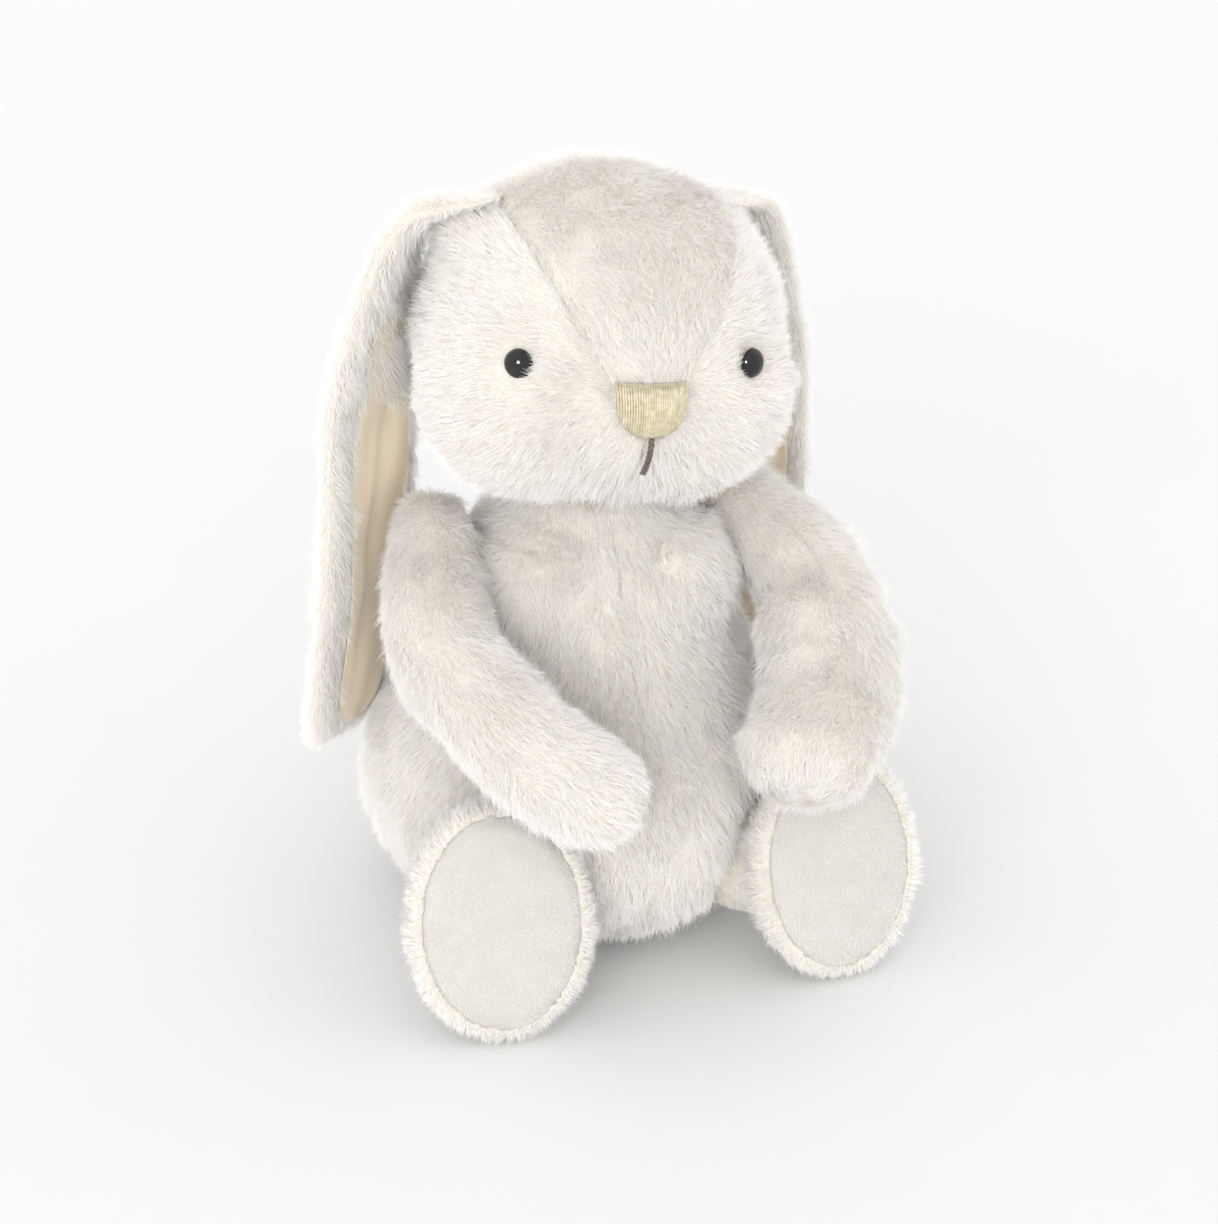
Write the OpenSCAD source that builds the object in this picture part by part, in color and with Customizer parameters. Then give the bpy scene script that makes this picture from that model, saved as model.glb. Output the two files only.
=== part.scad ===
// Seated plush rabbit with long hanging ears, sewn from fur panels over stuffing.
// Millimetres, +Z up. It faces -Y, and its own left side is +X.
// The origin is the centre of the flat seat that it sits on.

/* [Torso] */
// Widest radius of the belly
belly_r = 87; // [80:1:88]
// Half height of the belly's oval
belly_h = 60; // [56:1:62]
// Height of the belly's widest ring
belly_z = 52; // [50:1:54]
// Radius of the chest under the arms
chest_r = 47; // [44:1:48]
// Height of the chest's centre
chest_z = 132; // [128:1:134]

/* [Head] */
// Radius of the head, seen from above
head_r = 69; // [66:1:70]
// Half height of the head
head_h = 64; // [62:1:66]
// Height of the head's centre
head_z = 231; // [229:1:233]
// Radius of the ball that the head turns on
neck_r = 33; // [31:1:34]
// Height of the neck ball's centre
neck_z = 160; // [158:1:162]
// How far the face looks up, in degrees
head_up = 4; // [0:1:6]
// How far the head leans to its left, in degrees
head_lean = 5; // [0:1:6]
// How far the face turns to its right, in degrees
head_turn = 3; // [0:1:5]
// Diameter of an eye
eye_d = 10.5; // [9:0.5:12]
// Angle of each eye from the middle of the face
eye_side = 38; // [35:1:40]
// Width of the nose along its flat top
nose_w = 25; // [22:1:27]

/* [Ears] */
// Length of an ear below its root
ear_len = 218; // [205:1:220]
// Widest part of an ear
ear_w = 52; // [48:1:54]
// Thickness of an ear with its pile
ear_t = 12; // [11:1:13]
// How far an ear is turned to show its lining, in degrees
ear_sweep = 26; // [22:1:30]

/* [Arms and legs] */
// Radius of an arm at the shoulder
arm_r = 18; // [17:0.5:18]
// Half width of a foot across its fur rim
foot_w = 35; // [33:1:36]
// Half height of a foot across its fur rim
foot_h = 46; // [44:1:46]
// Radius of the leg's root in the hip
hip_r = 29; // [27:1:30]
// How far a sole leans back, in degrees
sole_lean = 16; // [14:1:18]

/* [Fabric] */
// Thickness of the fur fabric with its flattened pile
fur_t = 3; // [2.5:0.5:3.5]
// Thickness of the smooth sole and lining fabrics
cloth_t = 1.6; // [1.2:0.2:2]

/* [Hidden] */

LEFT = 1;
RIGHT = -1;
far = 1000;                // reaches past the whole rabbit
joint_gap = 0.5;           // room between two bodies at a joint
neck_gap = 1.2;            // room around the neck ball
root_gap = 3.2;            // how far an ear's root stands off the head
hip_gap = 0.9;             // room around a hip ball
seam_gap = 0.25;           // room between two pieces of one body
fill_inset = fur_t + seam_gap;

fur_colour = "ivory";
lining_colour = "wheat";
sole_colour = "linen";
fill_colour = "whitesmoke";

neck_c = [0, 0, neck_z];
head_c = [0, -2, head_z];
muzzle_c = head_c + [0, -42, -11];
muzzle_r = 32;
muzzle_fn = 160;           // fine enough for the thin stitching that lies on the muzzle
forehead_w = 88;           // width of the forehead panel between the ear roots
head_seam_y = 4;           // plane of the seam from ear to ear

nose_h = 18;
nose_t = 4;
nose_z = head_z - 1;
eye_lift = 3;              // degrees above the head's widest ring
eye_sink = 1.5;
washer_r = 8;
washer_t = 2;
washer_sag = 1;            // how far the flat washer stands off the curved fabric

ear_rise = 38;             // degrees up the side of the head to an ear's root
// How many degrees round the head, to the back, each ear's root is
function ear_bearing(side) = side == LEFT ? 20 : 5;
function ear_out(side) = [cos(ear_rise) * cos(ear_bearing(side)) / head_r, cos(ear_rise) * sin(ear_bearing(side)) / head_r,
    sin(ear_rise) / head_h];
function ear_root(side) = head_c
    + [head_r * cos(ear_rise) * cos(ear_bearing(side)), head_r * cos(ear_rise) * sin(ear_bearing(side)), head_h * sin(ear_rise)]
    + ear_out(side) / norm(ear_out(side)) * (ear_t / 2 + root_gap);
ear_bend = 95;             // height of the bend over the side of the head
ear_steps = 10;
ear_root_w = 34;
root_room = 9;             // room past each end of an ear's root
lining_margin = 5;
left_ear_back = 26;        // degrees the left ear is turned further to the back
// How far each ear is turned to the back, how far it stands out before it hangs straight, and how many degrees it is lifted
function ear_turn(side) = side == LEFT ? ear_sweep + left_ear_back : ear_sweep;
function ear_reach(side) = side == LEFT ? 19 : 30;
function ear_lift(side) = side == LEFT ? 11 : 2;

// Centre and radius of each ball along an arm, shoulder to paw, for the rabbit's left and right
arm_balls = [
    [[59, -2, 160, arm_r], [77, -42, 138, 20], [74, -80, 116, 20.5], [53, -109, 103, 19]],
    [[59, -2, 160, arm_r], [70, -50, 138, 19], [51, -87, 114, 19], [29, -99, 97, 18]]
];
function arm_chain(side) = [for (b = arm_balls[side == LEFT ? 0 : 1]) [side * b[0], b[1], b[2], b[3]]];
function shoulder(side) = [side * arm_balls[0][0][0], arm_balls[0][0][1], arm_balls[0][0][2]];

hip_c = [50, -56, 37];
hip_bearing = atan(-hip_c[0] / hip_c[1]);   // direction from the middle of the belly to a hip
thigh_start = 13;          // how far from a hip's centre the thigh leaves the ball
thigh_r = 25;
foot_t = 10;               // thickness of the flat front of a foot
sole_margin = 6;
// Centre of each foot's front: the left one is set further out
function foot_c(side) = [side * (side == LEFT ? 70 : 62), -98, foot_h + 0.6];
function foot_turn(side) = side * 6;
function hip(side) = [side * hip_c[0], hip_c[1], hip_c[2]];

tail_r = 18;
tail_sink = 7;             // how far the ball's centre is from the back
tail_c = [0, belly_r + tail_sink, 42];
pouch_r = 46;
pouch_h = 26;
pouch_z = 12;              // height of the pouch's underside, with filling below it
patch_z = 153;
patch_side = 30;           // degrees from the middle of the chest
patch_t = 1.2;
patch_slope = asin((patch_z - chest_z) / chest_r);
patch_r = chest_r * cos(patch_slope);

// ---------------------------------------------------------------- helpers

// Places children that are drawn for a level head into the head's resting tilt
module head_tilt() {
    translate(neck_c) rotate([-head_up, head_lean, -head_turn]) translate(-neck_c) children();
}

module mirrored(side) {
    if (side == LEFT) children();
    else mirror([1, 0, 0]) children();
}

// The half of space on one side of the middle plane, or of any plane x = at
module half_x(side, at = 0) {
    translate([side == LEFT ? at : at - far, -far / 2, -far / 2]) cube(far);
}

// The half of space in front of (or behind) the plane y = at
module half_y(front, at = 0) {
    translate([-far / 2, front ? at - far : at, -far / 2]) cube(far);
}

// ---------------------------------------------------------------- torso

module torso_outline(inset) {
    intersection() {
        offset(delta = -inset) {
            hull() {
                translate([0, belly_z]) scale([belly_r, belly_h]) circle(1, $fn = 48);
                translate([0, chest_z]) circle(chest_r, $fn = 48);
            }
            translate([0, neck_z]) circle(neck_r, $fn = 48);
        }
        translate([0, inset]) square(far);
    }
}

// The torso at a given inset under its surface, dented where the arms and legs sit
module torso_form(inset) {
    difference() {
        rotate_extrude() torso_outline(inset);
        for (side = [LEFT, RIGHT]) {
            translate(shoulder(side)) sphere(arm_r + joint_gap + inset);
            translate(hip(side)) sphere(hip_r + hip_gap + inset);
        }
    }
}

module torso_panel(side, front) {
    difference() {
        intersection() {
            torso_form(0);
            half_x(side, side * seam_gap / 2);
            half_y(front, front ? -seam_gap / 2 : seam_gap / 2);
        }
        torso_form(fur_t);
    }
}

module torso_front_left() { color(fur_colour) torso_panel(LEFT, true); }
module torso_front_right() { color(fur_colour) torso_panel(RIGHT, true); }
module torso_back_left() { color(fur_colour) torso_panel(LEFT, false); }
module torso_back_right() { color(fur_colour) torso_panel(RIGHT, false); }

// The bag of plastic pellets that weights the seat
module pouch_form(grow) {
    translate([0, 6, pouch_z - grow]) cylinder(r = pouch_r + grow, h = pouch_h + 2 * grow);
}

module pellet_pouch() { color("lightgrey") pouch_form(0); }

module torso_stuffing() {
    color(fill_colour) difference() {
        torso_form(fill_inset);
        pouch_form(seam_gap);
    }
}

// A small oval patch sewn on the left of the chest
module chest_patch() {
    color("cornsilk") rotate([0, 0, patch_side]) translate([0, -patch_r - seam_gap, patch_z])
        rotate([90 - patch_slope, 0, 0]) linear_extrude(patch_t) scale([5, 7.5]) circle(1, $fn = 40);
}

// A ball with its front face flat against the back seam, turned about a line that runs straight back
module tail_form(inset, front) {
    translate(tail_c) rotate([-90, 0, 0]) rotate_extrude() intersection() {
        circle(tail_r - inset, $fn = 60);
        translate([0, -front]) square(2 * tail_r);
    }
}

// Open at the front, where it is sewn to the back
module tail_cover() {
    color(fur_colour) difference() {
        tail_form(0, tail_sink - seam_gap);
        tail_form(fur_t, tail_r);
    }
}

module tail_stuffing() { color(fill_colour) tail_form(fill_inset, tail_sink - 2 * seam_gap); }

// ---------------------------------------------------------------- head

module head_outline(inset) {
    intersection() {
        offset(delta = -inset) scale([head_r, head_h]) circle(1, $fn = 60);
        translate([0, -far / 2]) square(far);
    }
}

// The head at a given inset under its surface, hollowed for the neck ball and the ears' rolled roots
module head_form(inset) {
    difference() {
        union() {
            translate(head_c) rotate_extrude() head_outline(inset);
            translate(muzzle_c) sphere(muzzle_r - inset);
        }
        translate(neck_c) sphere(neck_r + neck_gap + inset);
        for (side = [LEFT, RIGHT]) ear_frame(side) ear_hinge(joint_gap + inset, ends = root_room + inset);
    }
}

// Front view of the forehead panel: narrow over the nose, wide between the ear roots
module forehead_wedge(grow) {
    offset(delta = grow) polygon([
        [-nose_w / 2 - 1, nose_z], [nose_w / 2 + 1, nose_z],
        [forehead_w / 2, head_z + 0.8 * head_h], [forehead_w / 2, far],
        [-forehead_w / 2, far], [-forehead_w / 2, head_z + 0.8 * head_h]
    ]);
}

module forehead_space(grow) {
    translate([0, head_seam_y + grow, 0]) rotate([90, 0, 0]) linear_extrude(far) forehead_wedge(grow);
}

module head_skin() {
    difference() {
        head_form(0);
        head_form(fur_t);
        for (side = [LEFT, RIGHT]) eye_place(side) cylinder(r = eye_d / 6 + seam_gap, h = 3 * fur_t, center = true);
    }
}

module forehead_panel() {
    color(fur_colour) head_tilt() intersection() {
        head_skin();
        forehead_space(-seam_gap / 2);
    }
}

module cheek(side) {
    color(fur_colour) head_tilt() difference() {
        intersection() {
            head_skin();
            half_x(side, side * seam_gap / 2);
            half_y(true, head_seam_y - seam_gap / 2);
        }
        forehead_space(seam_gap / 2);
    }
}

module head_back(side) {
    color(fur_colour) head_tilt() intersection() {
        head_skin();
        half_x(side, side * seam_gap / 2);
        half_y(false, head_seam_y + seam_gap / 2);
    }
}

module cheek_left() { cheek(LEFT); }
module cheek_right() { cheek(RIGHT); }
module head_back_left() { head_back(LEFT); }
module head_back_right() { head_back(RIGHT); }

module head_stuffing() {
    color(fill_colour) head_tilt() difference() {
        head_form(fill_inset);
        for (side = [LEFT, RIGHT])
            eye_place(side) translate([0, 0, -7]) cylinder(r = washer_r + seam_gap, h = 7 - seam_gap - fur_t / 2);
    }
}

// Puts children on the head's surface at an eye, with +Z pointing outwards
module eye_place(side) {
    translate(head_c + [
        side * head_r * sin(eye_side) * cos(eye_lift),
        -head_r * cos(eye_side) * cos(eye_lift),
        head_h * sin(eye_lift)
    ]) rotate([0, 0, side * eye_side]) rotate([90 - eye_lift, 0, 0]) children();
}

// A domed plastic eye on a stem that passes through the fabric
module eye(side) {
    color("black") head_tilt() eye_place(side) {
        intersection() {
            translate([0, 0, -eye_sink + 1]) sphere(eye_d / 2);
            translate([0, 0, 0.4]) cylinder(r = eye_d, h = eye_d);
        }
        translate([0, 0, -6]) cylinder(r = eye_d / 6, h = 7);
    }
}

// The ring that locks an eye's stem behind the fabric
module eye_washer(side) {
    color("gainsboro") head_tilt() eye_place(side) translate([0, 0, -fill_inset - washer_t - washer_sag]) difference() {
        cylinder(r = washer_r, h = washer_t);
        translate([0, 0, -1]) cylinder(r = eye_d / 6 + 0.05, h = washer_t + 2);
    }
}

module eye_left() { eye(LEFT); }
module eye_right() { eye(RIGHT); }
module eye_washer_left() { eye_washer(LEFT); }
module eye_washer_right() { eye_washer(RIGHT); }

// The raised satin stitching of the nose, cut to follow the muzzle
module nose() {
    color("palegoldenrod") head_tilt() difference() {
        translate([0, muzzle_c[1], 0]) rotate([90, 0, 0]) linear_extrude(muzzle_r + nose_t / 2)
            hull() {
                translate([-nose_w / 2, nose_z - 4]) square([nose_w, 4]);
                for (side = [LEFT, RIGHT]) translate([side * 5, nose_z - nose_h + 6]) circle(6, $fn = 32);
            }
        translate(muzzle_c) sphere(muzzle_r + seam_gap, $fn = muzzle_fn);
    }
}

// One thick straight stitch from the nose down to the lip
module mouth_stitch() {
    color("dimgray") head_tilt() intersection() {
        difference() {
            translate(muzzle_c) sphere(muzzle_r + 2, $fn = muzzle_fn);
            translate(muzzle_c) sphere(muzzle_r + seam_gap, $fn = muzzle_fn);
        }
        translate([-1.2, -far / 2, nose_z - nose_h - 15]) cube([2.4, far / 2 - 60, 14.5]);
    }
}

// ---------------------------------------------------------------- ears

// The ear's middle line seen from the front: a quarter oval out of the root, then straight down
function ear_line(side, offset, first = 0) = concat(
    [for (i = [first:ear_steps]) let (a = 90 * i / ear_steps)
        [(ear_reach(side) + offset) * sin(a), (ear_bend + offset) * cos(a) - ear_bend]],
    [[ear_reach(side) + offset, -ear_len - ear_w]]
);

function backwards(list) = [for (i = [len(list) - 1:-1:0]) list[i]];

// The space between two offsets of the ear's middle line
module ear_band(side, outside, inside, first = 0) {
    rotate([90, 0, 0]) linear_extrude(2 * ear_w, center = true)
        polygon(concat(ear_line(side, outside, first), backwards(ear_line(side, inside, first))));
}

// The ear's outline seen from the side
module ear_outline(inset) {
    hull() {
        translate([0, ear_t]) square([ear_root_w - 2 * inset, 1], center = true);
        translate([0, -ear_w]) square([ear_w * 0.86 - 2 * inset, 1], center = true);
        translate([0, -ear_len + ear_w / 2]) circle(ear_w / 2 - inset, $fn = 48);
        translate([0, -ear_len * 0.62]) circle(ear_w / 2 - inset, $fn = 48);
    }
}

module ear_cut(inset) {
    rotate([90, 0, 90]) linear_extrude(far, center = true) ear_outline(inset);
}

// An ear's own frame: it hangs down -Z from the hinge line, which lies along Y
module ear_frame(side) {
    mirrored(side) translate(ear_root(side)) rotate([0, 0, ear_turn(side)]) rotate([0, -ear_lift(side), 0]) children();
}

module ear_place(side) {
    head_tilt() ear_frame(side) children();
}

// The rolled root that the ear swings on
module ear_hinge(grow, ends = 0) {
    rotate([90, 0, 0]) cylinder(r = ear_t / 2 + grow, h = ear_root_w + 2 * ends, center = true);
}

// The lining lies in a shallow recess in the face that hangs towards the head
module lining_form(side, grow) {
    intersection() {
        ear_band(side, -ear_t / 2 + cloth_t + grow, -ear_t / 2 - grow, first = 3);
        ear_cut(lining_margin - grow);
    }
}

module ear_fur(side) {
    color(fur_colour) ear_place(side) difference() {
        ear_flap(side);
        lining_form(side, seam_gap);
    }
}

module ear_flap(side) {
    ear_hinge(0);
    intersection() {
        ear_band(side, ear_t / 2, -ear_t / 2);
        ear_cut(0);
    }
}

module ear_lining(side) { color(lining_colour) ear_place(side) lining_form(side, 0); }

module ear_left_fur() { ear_fur(LEFT); }
module ear_left_lining() { ear_lining(LEFT); }
module ear_right_fur() { ear_fur(RIGHT); }
module ear_right_lining() { ear_lining(RIGHT); }

// ---------------------------------------------------------------- arms

module arm_form(side, inset, shift = 0) {
    balls = arm_chain(side);
    translate([side * shift, 0, 0])
        for (i = [0:len(balls) - 2])
            hull() for (b = [balls[i], balls[i + 1]])
                translate([b[0], b[1], b[2]]) sphere(b[3] - inset, $fn = 28);
}

// Half of an arm's skin, split along its length by a copy of the arm pushed outwards
module arm_outer(side) {
    color(fur_colour) intersection() {
        difference() {
            arm_form(side, 0);
            arm_form(side, fur_t);
        }
        arm_form(side, -fur_t, shift = arm_r);
    }
}

module arm_inner(side) {
    color(fur_colour) difference() {
        arm_form(side, 0);
        arm_form(side, fur_t);
        arm_form(side, -fur_t - seam_gap, shift = arm_r);
    }
}

module arm_stuffing(side) { color(fill_colour) arm_form(side, fill_inset); }

module arm_left_outer() { arm_outer(LEFT); }
module arm_left_inner() { arm_inner(LEFT); }
module arm_left_stuffing() { arm_stuffing(LEFT); }
module arm_right_outer() { arm_outer(RIGHT); }
module arm_right_inner() { arm_inner(RIGHT); }
module arm_right_stuffing() { arm_stuffing(RIGHT); }

// ---------------------------------------------------------------- legs

module foot_place(side) {
    translate(foot_c(side)) rotate([0, 0, foot_turn(side)]) rotate([90 - sole_lean, 0, 0]) children();
}

// A leg: the ball in the hip, and the thigh that leaves the belly there and widens to the flat front of the foot
module leg_form(side, inset) {
    translate(hip(side)) sphere(hip_r - inset);
    hull() {
        translate(hip(side)) rotate([90, 0, side * hip_bearing]) translate([0, 0, thigh_start])
            linear_extrude(1) circle(thigh_r - inset, $fn = 56);
        foot_place(side) translate([0, 0, -foot_t]) linear_extrude(foot_t - inset)
            scale([foot_w - inset, foot_h - inset]) circle(1, $fn = 56);
    }
}

// The opening in the front of a foot that the sole closes
module sole_opening(side) {
    foot_place(side) translate([0, 0, -foot_t / 2]) linear_extrude(foot_t)
        scale([foot_w - sole_margin + seam_gap, foot_h - sole_margin + seam_gap]) circle(1, $fn = 56);
}

module leg_cover(side) {
    color(fur_colour) difference() {
        leg_form(side, 0);
        leg_form(side, fur_t);
        sole_opening(side);
    }
}

module leg_sole(side) {
    color(sole_colour) foot_place(side) translate([0, 0, -cloth_t]) linear_extrude(cloth_t)
        scale([foot_w - sole_margin, foot_h - sole_margin]) circle(1, $fn = 56);
}

module leg_stuffing(side) { color(fill_colour) leg_form(side, fill_inset); }

module leg_left_cover() { leg_cover(LEFT); }
module leg_left_sole() { leg_sole(LEFT); }
module leg_left_stuffing() { leg_stuffing(LEFT); }
module leg_right_cover() { leg_cover(RIGHT); }
module leg_right_sole() { leg_sole(RIGHT); }
module leg_right_stuffing() { leg_stuffing(RIGHT); }

// ---------------------------------------------------------------- output

forehead_panel();
cheek_left();
cheek_right();
head_back_left();
head_back_right();
head_stuffing();
eye_left();
eye_right();
eye_washer_left();
eye_washer_right();
nose();
mouth_stitch();
ear_left_fur();
ear_left_lining();
ear_right_fur();
ear_right_lining();
torso_front_left();
torso_front_right();
torso_back_left();
torso_back_right();
torso_stuffing();
pellet_pouch();
chest_patch();
tail_cover();
tail_stuffing();
arm_left_outer();
arm_left_inner();
arm_left_stuffing();
arm_right_outer();
arm_right_inner();
arm_right_stuffing();
leg_left_cover();
leg_left_sole();
leg_left_stuffing();
leg_right_cover();
leg_right_sole();
leg_right_stuffing();
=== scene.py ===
import math

import bmesh
import bpy
import numpy as np
from mathutils import Matrix, Vector


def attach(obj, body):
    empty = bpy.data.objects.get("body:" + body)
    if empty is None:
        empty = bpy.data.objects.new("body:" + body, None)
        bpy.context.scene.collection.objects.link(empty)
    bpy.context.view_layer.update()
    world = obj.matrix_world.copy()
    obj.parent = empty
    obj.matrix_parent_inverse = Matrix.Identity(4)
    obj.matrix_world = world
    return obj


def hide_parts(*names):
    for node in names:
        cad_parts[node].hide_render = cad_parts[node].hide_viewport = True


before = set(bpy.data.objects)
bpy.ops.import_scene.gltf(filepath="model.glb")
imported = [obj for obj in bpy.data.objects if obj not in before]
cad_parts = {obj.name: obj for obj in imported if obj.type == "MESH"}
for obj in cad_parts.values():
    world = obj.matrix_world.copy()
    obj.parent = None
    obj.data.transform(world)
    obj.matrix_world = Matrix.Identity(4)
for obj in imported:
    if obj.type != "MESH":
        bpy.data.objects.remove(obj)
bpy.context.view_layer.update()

# All lengths below are in millimetres in the frame's axes, and are scaled to metres where meshes are made.
MM = 0.001
LEFT, RIGHT = 1, -1
SIDE_NAME = {LEFT: "left", RIGHT: "right"}

# ---------------------------------------------------------------- the rabbit's own dimensions

NECK = np.array([0.0, 0.0, 160.0])
NECK_R = 33.0
HEAD = np.array([0.0, -2.0, 231.0])
HEAD_R, HEAD_H = 69.0, 64.0
MUZZLE = HEAD + [0, -42, -11]
MUZZLE_R = 32.0
HEAD_UP, HEAD_LEAN, HEAD_TURN = 4.0, 5.0, 3.0
FOREHEAD_W = 88.0
HEAD_SEAM_Y = 4.0
NOSE_W, NOSE_H, NOSE_Z = 25.0, 18.0, 231.0
NOSE_PUFF = 1.07      # the stitching spreads a little past its outline
EYE_SIDE, EYE_LIFT, EYE_D = 38.0, 3.0, 10.5
EYE_SHIFT = 1.5        # degrees that both eyes sit to the rabbit's right
BELLY_R, BELLY_H, BELLY_Z = 87.0, 60.0, 52.0
CHEST_R, CHEST_Z = 47.0, 132.0
PILE = 1.6            # how far the fabric lies under the outside of the pile

EAR_LEN, EAR_W, EAR_T, EAR_BEND = 218.0, 52.0, 12.0, 95.0
EAR_RISE, EAR_ROOT_GAP = 38.0, 3.2
EAR_TURN = {LEFT: 52.0, RIGHT: 26.0}
EAR_BEARING = {LEFT: 20.0, RIGHT: 5.0}
# how far the hanging part is turned to the front, about its front edge
EAR_TWIST = {LEFT: 0.0, RIGHT: 20.0}
EAR_LIFT = {LEFT: 11.0, RIGHT: 2.0}
EAR_REACH = {LEFT: 17.0, RIGHT: 29.0}

ARM_BALLS = {
    LEFT: [(59, -2, 160, 18), (77, -42, 138, 20), (74, -80, 116, 20.5), (53, -109, 103, 19)],
    RIGHT: [(-59, -2, 160, 18), (-70, -50, 138, 19), (-51, -87, 114, 19), (-29, -99, 97, 18)],
}
# stuffing pushed to the inside of the bend
HAND_FILL = {LEFT: [(66, -64, 130, 19.5), (62, -80, 120, 20), (54, -94, 110, 20), (44, -104, 104, 18)], RIGHT: []}
HIP = {side: np.array([50.0 * side, -56.0, 37.0]) for side in (LEFT, RIGHT)}
HIP_R, THIGH_R, THIGH_START, HIP_BEARING = 29.0, 25.0, 13.0, 41.76
FOOT_W, FOOT_H, SOLE_LEAN, FOOT_TURN, SOLE_MARGIN = 35.0, 46.0, 16.0, 6.0, 6.0
FOOT = {LEFT: np.array([70.0, -98.0, 46.6]), RIGHT: np.array([-62.0, -98.0, 46.6])}
TAIL = np.array([0.0, 94.0, 42.0])
TAIL_R = 18.0
PATCH_Z, PATCH_SIDE = 153.0, 30.0


def turn(axis, degrees):
    return np.array(Matrix.Rotation(math.radians(degrees), 3, axis))


def placed(points, rotation, origin):
    return np.asarray(points, float) @ rotation.T + origin


HEAD_ROT = turn("Z", -HEAD_TURN) @ turn("Y", HEAD_LEAN) @ turn("X", -HEAD_UP)


def tilt(points):
    """From the level head to the head as it rests."""
    return placed(np.asarray(points, float) - NECK, HEAD_ROT, NECK)


def unit(v):
    return v / np.maximum(np.linalg.norm(v, axis=-1, keepdims=True), 1e-9)


# ---------------------------------------------------------------- mesh helpers

def add_object(name, data):
    obj = bpy.data.objects.new(name, data)
    bpy.context.scene.collection.objects.link(obj)
    return obj


def make_mesh(name, points, faces):
    mesh = bpy.data.meshes.new(name)
    mesh.from_pydata((np.asarray(points, float) * MM).tolist(), [], faces)
    mesh.validate()
    mesh.update()
    mesh.shade_smooth()
    return add_object(name, mesh)


def ball(centre, radius):
    """An ellipsoid or a sphere, as points and faces."""
    bm = bmesh.new()
    bmesh.ops.create_icosphere(bm, subdivisions=4, radius=1)
    points = np.array([v.co for v in bm.verts]) * np.asarray(radius, float) + centre
    faces = [[v.index for v in f.verts] for f in bm.faces]
    bm.free()
    return points, faces


def tube(rings):
    """A skin over a list of rings with equal numbers of points, with its ends capped."""
    n = len(rings[0])
    points = np.vstack(rings)
    faces = [
        [i * n + j, i * n + (j + 1) % n, (i + 1) * n + (j + 1) % n, (i + 1) * n + j]
        for i in range(len(rings) - 1) for j in range(n)
    ]
    faces.append(list(range(n))[::-1])
    faces.append([(len(rings) - 1) * n + j for j in range(n)])
    return points, faces


def lathe(profile, steps=72):
    """A profile of (radius, height) pairs turned round Z."""
    a = np.linspace(0, 2 * math.pi, steps, endpoint=False)
    return tube([np.stack([r * np.cos(a), r * np.sin(a), np.full(steps, float(z))], 1) for r, z in profile])


def joined(shells):
    points, faces, start = [], [], 0
    for p, f in shells:
        points.append(p)
        faces += [[i + start for i in face] for face in f]
        start += len(p)
    return np.vstack(points), faces


def co_of(obj):
    co = np.empty(len(obj.data.vertices) * 3, np.float32)
    obj.data.vertices.foreach_get("co", co)
    return co.reshape(-1, 3).astype(float) / MM


def set_co(obj, points):
    obj.data.vertices.foreach_set("co", (points * MM).astype(np.float32).ravel())
    obj.data.update()


def normals_of(obj):
    n = np.empty(len(obj.data.vertices) * 3, np.float32)
    obj.data.vertex_normals.foreach_get("vector", n)
    return n.reshape(-1, 3).astype(float)


def bake(obj):
    """Applies every modifier."""
    depsgraph = bpy.context.evaluated_depsgraph_get()
    mesh = bpy.data.meshes.new_from_object(obj.evaluated_get(depsgraph))
    obj.modifiers.clear()
    old = obj.data
    obj.data = mesh
    bpy.data.meshes.remove(old)
    return obj


def remeshed(name, shells, voxel, cutters=()):
    """One even skin over overlapping closed shells, with the cutter shells taken away."""
    obj = make_mesh(name, *joined(shells))
    tools = [make_mesh(name + "_tool", *c) for c in cutters]
    mod = obj.modifiers.new("skin", "REMESH")
    mod.mode, mod.voxel_size = "VOXEL", voxel * MM * 0.6
    for tool in tools:
        cut = obj.modifiers.new("cut", "BOOLEAN")
        cut.operation, cut.object, cut.solver = "DIFFERENCE", tool, "FAST"
    mod = obj.modifiers.new("even", "REMESH")
    mod.mode, mod.voxel_size = "VOXEL", voxel * MM
    bake(obj)
    for tool in tools:
        bpy.data.objects.remove(tool)
    return obj


def relax(obj, rounds, keep=None):
    """Smooths without shrinking. keep is a share per point that stays where it is."""
    edges = np.empty(len(obj.data.edges) * 2, np.int32)
    obj.data.edges.foreach_get("vertices", edges)
    a, b = edges.reshape(-1, 2).T
    p = co_of(obj)
    count = np.bincount(a, minlength=len(p)) + np.bincount(b, minlength=len(p))
    free = 1.0 if keep is None else (1 - keep)[:, None]
    for i in range(2 * rounds):
        mean = np.zeros_like(p)
        for k in range(3):
            mean[:, k] = np.bincount(a, p[b, k], len(p)) + np.bincount(b, p[a, k], len(p))
        p += (0.5 if i % 2 == 0 else -0.52) * free * (mean / np.maximum(count, 1)[:, None] - p)
    set_co(obj, p)


CLOTH_FRAMES = 20
CLOTH_PRESSURE = 4.0


def inflate(obj, cap):
    """Fills the cover: a cloth skin under pressure, which may move a point no further than cap."""
    before = co_of(obj)
    mod = obj.modifiers.new("fill", "CLOTH")
    s = mod.settings
    s.quality, s.mass = 5, 0.2
    s.tension_stiffness = s.compression_stiffness = 12
    s.bending_stiffness = 0.6
    s.use_pressure, s.uniform_pressure_force = True, CLOTH_PRESSURE
    s.effector_weights.gravity = 0
    mod.collision_settings.use_collision = False
    mod.point_cache.frame_start, mod.point_cache.frame_end = 1, CLOTH_FRAMES
    for f in range(1, CLOTH_FRAMES + 1):
        bpy.context.scene.frame_set(f)
    bake(obj)
    bpy.context.scene.frame_set(1)
    move = co_of(obj) - before
    size = np.linalg.norm(move, axis=1, keepdims=True)
    set_co(obj, before + move * np.minimum(1, cap / np.maximum(size, 1e-9)))


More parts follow.
